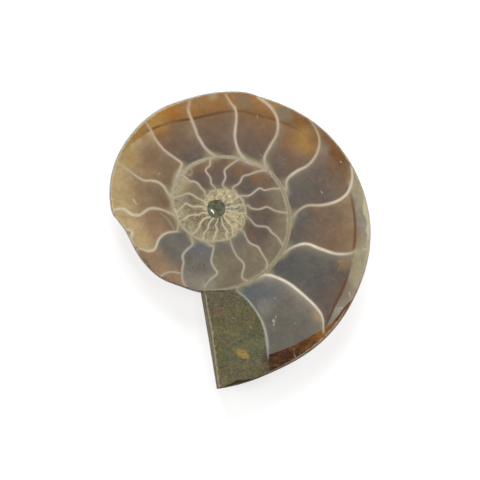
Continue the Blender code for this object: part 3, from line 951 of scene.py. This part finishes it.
# Sandy mudstone, ground: dull, with grains from dark olive to pale sand that are drawn a
# little coarser than the real ones, to show.
sandy_mudstone, tree, shader = new_material("sandy_mudstone", {"Roughness": 0.5})
where = add(tree, "TexCoord", {}, "Object")
field = {
    name: add(tree, "Attribute", {}, "Fac", attribute_name=name)
    for name in ("wall", "ochre", "shell", "shell_light", "sawn_edge", "pale_mark", "dark_mark")
}
grit, patches, veins = (
    add(tree, "TexNoise", {
        "Vector": where, "Scale": PER_METRE / size, "Detail": detail, "Roughness": rough,
    })
    for size, detail, rough in ((0.34, 4.0, 0.8), (2.4, 3.0, 0.6), (1.1, 3.0, 0.6))
)
colour = add(tree, "Attribute", {}, "Color", attribute_name="mud")
colour = vary(tree, colour, (grit, 0.25, 0.75, -0.05, 2.05), (patches, 0.25, 0.75, 0.82, 1.18))
colour = lay_over(
    tree, colour, (patches, 0.52, 0.66, 0.32, "#766a36"), (veins, 0.52, 0.66, 0.32, "#484630")
)
bend = add(tree, "TexNoise", {"Vector": where, "Scale": PER_METRE / 0.7}, "Color")
bend = add(tree, "VectorMath", {0: bend, "Scale": 0.7 * MM}, operation="SCALE")
bent = add(tree, "VectorMath", {0: where, 1: bend}, operation="ADD")
sand, sand_kinds = (
    add(tree, "TexVoronoi", {"Vector": bent, "Scale": PER_METRE / 0.6}, result)
    for result in ("Distance", "Color")
)
kind = add(tree, "SeparateColor", {0: sand_kinds})
pale_kind, dark_kind, grain = (
    add(tree, "MapRange", {"Value": value, "From Min": low, "From Max": high})
    for value, low, high in ((kind, 0.82, 0.95), (kind, 0.24, 0.12), (sand, 0.45, 0.2))
)
pale_grain, dark_grain = (
    add(tree, "Math", {0: grain, 1: chosen}, operation="MULTIPLY")
    for chosen in (pale_kind, dark_kind)
)
sway = add(tree, "Math", {0: veins, 1: 0.5}, operation="SUBTRACT")
# The ochre, the painted highlight along the sawn edge and the walls waver with the veins.
ochre, sawn_edge_highlight, wall = (
    add(tree, "Math", {0: sway, 1: much, 2: field[name]}, operation="MULTIPLY_ADD")
    for name, much in (("ochre", 0.8), ("sawn_edge", 1.2), ("wall", 0.35))
)
line = add(tree, "Attribute", {}, "Color", attribute_name="wall_line")
shell_line = add(tree, "MapRange", {
    "Value": field["shell"], "From Min": -0.15, "From Max": 0.15,
}, interpolation_type="SMOOTHSTEP")
shell_line = add(tree, "Math", {0: shell_line, 1: field["shell_light"]}, operation="MULTIPLY")
ochre_shade = lay_over(tree, "#7c6028", (grit, 0.4, 0.6, 1.0, "#ac9448"), fade="LINEAR")
# Grains, then the ochre, a painted highlight along the sawn edge, the walls, the rim and the marks,
# as on the calcite.
colour = lay_over(
    tree, colour, (pale_grain, 0.0, 1.0, 0.4, "#968c5e"), (dark_grain, 0.0, 1.0, 0.12, "#35301f"),
    (ochre, 1.35, 0.7, 0.85, ochre_shade), (sawn_edge_highlight, 0.22, -0.2, 0.75, "#a2967a"),
    (shell_line, 0.0, 1.0, 0.8, "#8b8064"), (wall, 0.2, -0.26, 0.9, line),
    # The dark marks hold painted shadow in the crack at the notch.
    (field["dark_mark"], 0.12, -0.06, 0.85, "#35332a"),
    # The pale marks are partly painted glints.
    (field["pale_mark"], 0.2, -0.1, 0.6, "#b9b49c"),
)
tree.links.new(colour, shader.inputs["Base Color"])
relief = add(tree, "Bump", {"Height": grit, "Strength": 0.5, "Distance": 0.06 * MM})
tree.links.new(relief, shader.inputs["Normal"])
mud_filling.data.materials.append(sandy_mudstone)


# The first chamber. The animal's first, round chamber stands empty: a small glossy
# hollow lined with dark green-brown calcite, in the very middle.

HOLLOW_RADIUS = 2.0
HOLLOW_DEPTH = 0.25
HOLLOW_RINGS = 16
HOLLOW_SPOKES = 96

bowl = bmesh.new()
profile = [bowl.verts.new((i / HOLLOW_RINGS, 0.0, 0.0)) for i in range(HOLLOW_RINGS + 1)]
arms = [bowl.edges.new(pair) for pair in zip(profile, profile[1:])]
bmesh.ops.spin(
    bowl, geom=profile + arms, cent=(0, 0, 0), axis=(0, 0, 1), angle=math.tau,
    steps=HOLLOW_SPOKES, use_merge=True,
)
bmesh.ops.remove_doubles(bowl, verts=bowl.verts, dist=1e-5)
mesh = bpy.data.meshes.new("first_chamber")
bowl.to_mesh(mesh)
bowl.free()
spots = np.array([vertex.co.xy for vertex in mesh.vertices])
put_vertices(mesh, spots * HOLLOW_RADIUS, -HOLLOW_DEPTH * (1 - (spots**2).sum(1)))
first_chamber = close_and_place(mesh)

# Glassy calcite: dark and mottled green-brown, wet-looking enough to throw a highlight.
glassy_calcite, tree, shader = new_material("glassy_calcite", {
    "Roughness": 0.15, "Coat Weight": 1.0, "Coat Roughness": 0.02,
})
where = add(tree, "TexCoord", {}, "Object")
mottle = add(tree, "TexNoise", {
    "Vector": where, "Scale": PER_METRE / 0.9, "Detail": 4.0, "Roughness": 0.65,
})
colour = lay_over(tree, "#474a3a", (mottle, 0.34, 0.66, 1.0, "#75755a"), fade="LINEAR")
tree.links.new(colour, shader.inputs["Base Color"])
first_chamber.data.materials.append(glassy_calcite)


# The sawn end. A rough second cut, never ground, took the open end of the body chamber
# off square: a raw wall of sandy mudstone from the face down to the flank.

KEEL_DEPTH = 2.3
FLANK_DEPTH = 8.2
DEPTH_POWER = 0.5
SADDLE = 0.58
UMBILICUS = 0.3
DOME_FULLNESS = (3.0, 0.6)
CUT_SLOPE = np.array([0.0114, -0.0418])
WHORL_GROWTH = float(keel_radius(np.array(369.5)) / KEEL[0][1])
WALL_COLUMNS = 40
ROUGHNESS_DEPTH = 0.16
ROUGHNESS_SIZE = 0.9


def dome_outside(share):
    out = np.clip((share - SADDLE) / (1.0 - SADDLE), 0.0, 1.0)
    return (1.0 - out ** DOME_FULLNESS[0]) ** DOME_FULLNESS[1]


def flank_height(points, keel):
    """Height of the underside below the face, and the share of its whorl's radius."""
    radius = np.hypot(*points.T)
    keel = keel.copy()
    for _ in range(4):
        older = (radius < UMBILICUS * keel) & (keel > HOLLOW_RADIUS)
        keel[older] /= WHORL_GROWTH
    share = np.maximum(radius / keel, UMBILICUS)
    seam = dome_outside(np.array(UMBILICUS * WHORL_GROWTH)) / WHORL_GROWTH**DEPTH_POWER
    inward = (SADDLE - share) / (SADDLE - UMBILICUS)
    dome = np.where(share >= SADDLE, dome_outside(share), 1.0 - (1.0 - seam) * inward**2)
    depth = FLANK_DEPTH * (keel / KEEL[-1][1]) ** DEPTH_POWER * dome
    return points @ CUT_SLOPE - KEEL_DEPTH - depth, share


stations = np.vstack([silhouette, silhouette[:1]])
edges = np.vstack([face_edge, face_edge[:1]])
station_turns = turn_of(stations)
station_turns[KEEL_STATIONS:] += 360.0 * (station_turns[KEEL_STATIONS:] < 180.0)
whorl_turns = station_turns.copy()
whorl_turns[-1] = station_turns[0]

mesh, row, column = grid_over("sawn_end", SAWN_STATIONS, WALL_COLUMNS)
station = row + KEEL_STATIONS
down = column / WALL_COLUMNS * math.pi / 2
places = stations[station] + (edges - stations)[station] * (1.0 - np.sin(down))[:, None]
drop, _ = flank_height(stations[station], keel_radius(whorl_turns)[station])
height = drop * (1.0 - np.cos(down))
rough = np.array([
    noise.fractal(Vector((*place, z)) / ROUGHNESS_SIZE, 0.9, 2.0, 4)
    for place, z in zip(places, height)
])
inside = np.minimum(1.0, 4.0 * np.sin(np.pi * column / WALL_COLUMNS))
inside *= np.minimum(1.0, 6.0 * np.sin(np.pi * row / SAWN_STATIONS))
inward = np.array([foot[1] - notch[1], notch[0] - foot[0]])
inward /= -np.hypot(*inward)
dent = ROUGHNESS_DEPTH * np.clip(0.5 + rough, 0.0, 1.5) * inside
put_vertices(mesh, places + inward * dent[:, None], height)
sawn_end = close_and_place(mesh, outwards=(-1, 0, 0))

# Raw mudstone, sawn: the same sandy mud as on the face, darker and matt, with the grit
# standing out of it.
raw_mudstone, tree, shader = new_material("raw_mudstone", {"Roughness": 0.85})
where = add(tree, "TexCoord", {}, "Object")
grit, patches = (
    add(tree, "TexNoise", {
        "Vector": where, "Scale": PER_METRE / size, "Detail": detail, "Roughness": rough,
    })
    for size, detail, rough in ((0.7, 5.0, 0.7), (4.0, 3.0, 0.6))
)
colour = lay_over(
    tree, "#4f4a38", (grit, 0.3, 0.7, 1.0, "#928a6e"), (patches, 0.4, 0.62, 0.55, "#6e5a3f"),
    fade="LINEAR",
)
tree.links.new(colour, shader.inputs["Base Color"])
relief = add(tree, "Bump", {"Height": grit, "Strength": 0.7, "Distance": 0.15 * MM})
tree.links.new(relief, shader.inputs["Normal"])
sawn_end.data.materials.append(raw_mudstone)


# The shell's flank. The outside of the shell, never cut: a domed brown wall with faint
# sickle-shaped ribs, growth lines and an open umbilicus, on which the fossil rests.

EVEN_ANGLES_WITHIN = 3.0
TRUE_ANGLES_BEYOND = 11.0
RIM_COLUMNS = 6
FLANK_COLUMNS = 104
FLANK_SPREAD = 1.2
RIB_EVERY = 8.0
RIB_SWEEP = 1.1
RIB_DEPTH = 0.16
# The share of the way down the side wall where the ground edge starts and stops fading, and the
# tones of that edge, by turn: its own colours, and dark umber near the foot that is painted
# shadow under the broken edge.
RIM_GROUND = (0.25, 0.7)
RIM_TONES_AND_SHADOW = (
    (10, "dusk"), (50, "taupe"), (72, "cream"), (92, "sand"), (120, "haze"), (165, "haze"),
    (200, "tan"), (235, "olive"), (262, "sand"), (284, "cream"), (303, "olive"), (307, "rust"),
    (312, "tan"), (342, "taupe"), (348, "umber"), (356, "umber"), (359, "taupe"),
)

even_turns = FIRST_KEEL_TURN + 360.0 * np.arange(len(stations)) / (len(stations) - 1)
mesh, row, column = grid_over("shell_flank", len(stations) - 1, RIM_COLUMNS + FLANK_COLUMNS)
shares = 1.0 - np.maximum(column - RIM_COLUMNS, 0) / FLANK_COLUMNS
shares = np.sign(shares) * np.abs(shares) ** FLANK_SPREAD
radius = np.hypot(*stations.T)[row] * shares
true_share = smooth_step(EVEN_ANGLES_WITHIN, TRUE_ANGLES_BEYOND, radius)
target = station_turns[row] + 360.0 * (row == len(stations) - 1)
turn = even_turns[row] + (target - even_turns[row]) * true_share
places = heading(turn) * radius[:, None]
keel = keel_radius(whorl_turns)[row]
height, share = flank_height(places, keel)
# The ribs are grooves carved inwards, so that the fossil keeps its size.
past_umbilicus = (share - UMBILICUS) / (1.0 - UMBILICUS)
phase = turn / RIB_EVERY + RIB_SWEEP * np.sin(np.pi * 1.3 * past_umbilicus)
groove = (0.5 - 0.5 * np.cos(math.tau * phase)) ** 2
groove *= smooth_step(0.02, 0.3, past_umbilicus) * smooth_step(1.0, 0.9, past_umbilicus)
rim = column < RIM_COLUMNS
round_turn = column / RIM_COLUMNS * math.pi / 2
inset = (edges - stations)[row] * (1.0 - np.sin(round_turn))[:, None]
places[rim] = (stations[row] + inset)[rim]
height = np.where(rim, height * (1.0 - np.cos(round_turn)), height + RIB_DEPTH * groove)
put_vertices(mesh, places, height)

# The suture is the nearest septum's distance, signed by the side that the place is on.
suture = np.full((3, len(places)), FAR)
for line in septum_lines:
    keep_nearer(suture, distance_to(line, places))
inner = whorl_radius(np.minimum(turn - 360.0, SPIRAL_WALL[-1][0]))
across = np.clip((np.hypot(*places.T) - inner) / (keel - inner), 0.0, 1.0)
flank_fields = {
    "suture": np.where(suture[0] < FAR, suture[0] * suture[2], FAR), "phase": phase,
    "mud_cast": (chamber_at(across, turn) == 0) & (share > UMBILICUS * 1.05),
    "umbilicus": smooth_step(0.12, 0.0, past_umbilicus),
    "rim": smooth_step(RIM_GROUND[1], RIM_GROUND[0], column / RIM_COLUMNS),
    "rim_tone_and_shadow": shade_through(RIM_TONES_AND_SHADOW, turn),
}
for name, values in flank_fields.items():
    add_field(mesh, name, values)
on_saw = (row >= KEEL_STATIONS) & (row <= KEEL_STATIONS + SAWN_STATIONS) & (column <= RIM_COLUMNS)
shape = bmesh.new()
shape.from_mesh(mesh)
sawn_faces = [face for face in shape.faces if all(on_saw[v.index] for v in face.verts)]
bmesh.ops.delete(shape, geom=sawn_faces, context="FACES")
shape.to_mesh(mesh)
shape.free()
shell_flank = close_and_place(mesh, outwards=(0, 0, -1))

# Weathered shell: satin brown and tan, mottled, with growth lines, cream nacre where the
# shell is thick, and dark frilled lines where the septa met it.
weathered_shell, tree, shader = new_material("weathered_shell", {"Roughness": 0.38})
where = add(tree, "TexCoord", {}, "Object")
field = {
    name: add(tree, "Attribute", {}, "Fac", attribute_name=name)
    for name in ("suture", "phase", "mud_cast", "umbilicus", "rim")
}
clouds, blotches, frills, grit = (
    add(tree, "TexNoise", {
        "Vector": where, "Scale": PER_METRE / size, "Detail": detail, "Roughness": rough,
        "Distortion": twist,
    })
    for size, detail, rough, twist in (
        (7.0, 3.0, 0.55, 0.4), (3.0, 5.0, 0.65, 0.6), (1.9, 3.0, 0.6, 1.2), (0.5, 3.0, 0.6, 0.0),
    )
)
colour = lay_over(tree, "#6b4f38", (clouds, 0.35, 0.65, 1.0, "#9a7f5c"), fade="LINEAR")
frill = add(tree, "Math", {0: frills, 1: 0.5}, operation="SUBTRACT")
frill = add(tree, "Math", {0: frill, 1: 7.0, 2: field["suture"]}, operation="MULTIPLY_ADD")
frill = add(tree, "Math", {0: frill}, operation="ABSOLUTE")
growth = add(tree, "Math", {0: blotches, 1: 3.0, 2: field["phase"]}, operation="MULTIPLY_ADD")
growth = add(tree, "Math", {0: growth, 1: math.tau * 3.0}, operation="MULTIPLY")
growth = add(tree, "Math", {0: growth}, operation="SINE")
# The ground edge's own tones, with painted shadow in the dark umber near the foot.
rim_tone_and_shadow = add(tree, "Attribute", {}, "Color", attribute_name="rim_tone_and_shadow")
mud_shade = lay_over(tree, "#3f3b2a", (grit, 0.0, 1.0, 1.0, "#8f8868"), fade="LINEAR")
mud_left = add(tree, "MapRange", {
    "Value": blotches, "From Min": 0.62, "From Max": 0.5,
}, interpolation_type="SMOOTHSTEP")
mud_left, in_umbilicus = (
    add(tree, "Math", {0: value, 1: field[name]}, operation="MULTIPLY")
    for value, name in ((mud_left, "mud_cast"), (grit, "umbilicus"))
)
colour = lay_over(
    tree, colour, (blotches, 0.56, 0.68, 0.7, "#5c3722"), (blotches, 0.44, 0.32, 0.65, "#bba980"),
    (frill, 0.34, 0.1, 0.7, "#3d2a1c"), (mud_left, 0.0, 1.0, 0.85, mud_shade),
    (in_umbilicus, 0.1, 0.5, 0.8, "#8a8063"), (field["rim"], 0.2, 0.9, 1.0, rim_tone_and_shadow),
)
colour = vary(tree, colour, (growth, -1.0, 1.0, 0.93, 1.07), (grit, 0.25, 0.75, 0.88, 1.12))
tree.links.new(colour, shader.inputs["Base Color"])
relief = add(tree, "Math", {0: growth, 1: grit}, operation="MULTIPLY")
relief = add(tree, "Bump", {"Height": relief, "Strength": 0.35, "Distance": 0.05 * MM})
tree.links.new(relief, shader.inputs["Normal"])
shell_flank.data.materials.append(weathered_shell)


# The floor, the light and the camera. White paper lit from within a light tent, with the
# light strongest from beyond the top of the face, and the camera straight over it.

FLOOR_GLOW = 0.68
FLOOR_SHADE = 0.55
FLOOR_HALF = 1.5

floor_mesh = bpy.data.meshes.new("floor")
sheet = bmesh.new()
bmesh.ops.create_grid(sheet, x_segments=1, y_segments=1, size=FLOOR_HALF)
sheet.to_mesh(floor_mesh)
sheet.free()
floor = bpy.data.objects.new("floor", floor_mesh)
bpy.context.scene.collection.objects.link(floor)
# White paper: matt, and bright enough to leave only a soft shadow.
white_paper, _, _ = new_material("white_paper", {
    "Base Color": (FLOOR_SHADE, FLOOR_SHADE, FLOOR_SHADE, 1.0), "Roughness": 1.0,
    "Specular IOR Level": 0.0, "Emission Color": (1.0, 1.0, 1.0, 1.0),
    "Emission Strength": FLOOR_GLOW,
})
floor_mesh.materials.append(white_paper)


def soft_light(name, place, width, length, power):
    """A lamp behind a cloth of this width and length, turned to the fossil."""
    lamp = bpy.data.lights.new(name, "AREA")
    lamp.shape = "RECTANGLE"
    lamp.size = width
    lamp.size_y = length
    lamp.energy = power
    holder = bpy.data.objects.new(name, lamp)
    holder.location = place
    holder.rotation_euler = (-Vector(place)).to_track_quat("-Z", "Y").to_euler()
    bpy.context.scene.collection.objects.link(holder)


soft_light("top_light", (0.0, 0.64, 0.56), 0.5, 0.4, 5.4)
soft_light("left_light", (-0.5, 0.1, 0.55), 0.4, 0.4, 1.6)
soft_light("right_light", (0.5, 0.2, 0.5), 0.4, 0.4, 1.6)
soft_light("small_light", (0.12, 0.09, 0.6), 0.16, 0.035, 0.3)

world = bpy.data.worlds.new("studio")
world.use_nodes = True
world.node_tree.nodes["Background"].inputs["Color"].default_value = (1, 1, 1, 1)
world.node_tree.nodes["Background"].inputs["Strength"].default_value = 0.09
bpy.context.scene.world = world
bpy.context.scene.view_settings.view_transform = "Standard"

LENS = 400.0
SENSOR = 36.0
VIEW_WIDTH = 105.6
camera_data = bpy.data.cameras.new("camera")
camera_data.lens = LENS
camera_data.sensor_width = SENSOR
camera = bpy.data.objects.new("camera", camera_data)
camera.location = (0.0, 0.0, (face_height + VIEW_WIDTH * LENS / SENSOR) * MM)
bpy.context.scene.collection.objects.link(camera)
bpy.context.scene.camera = camera
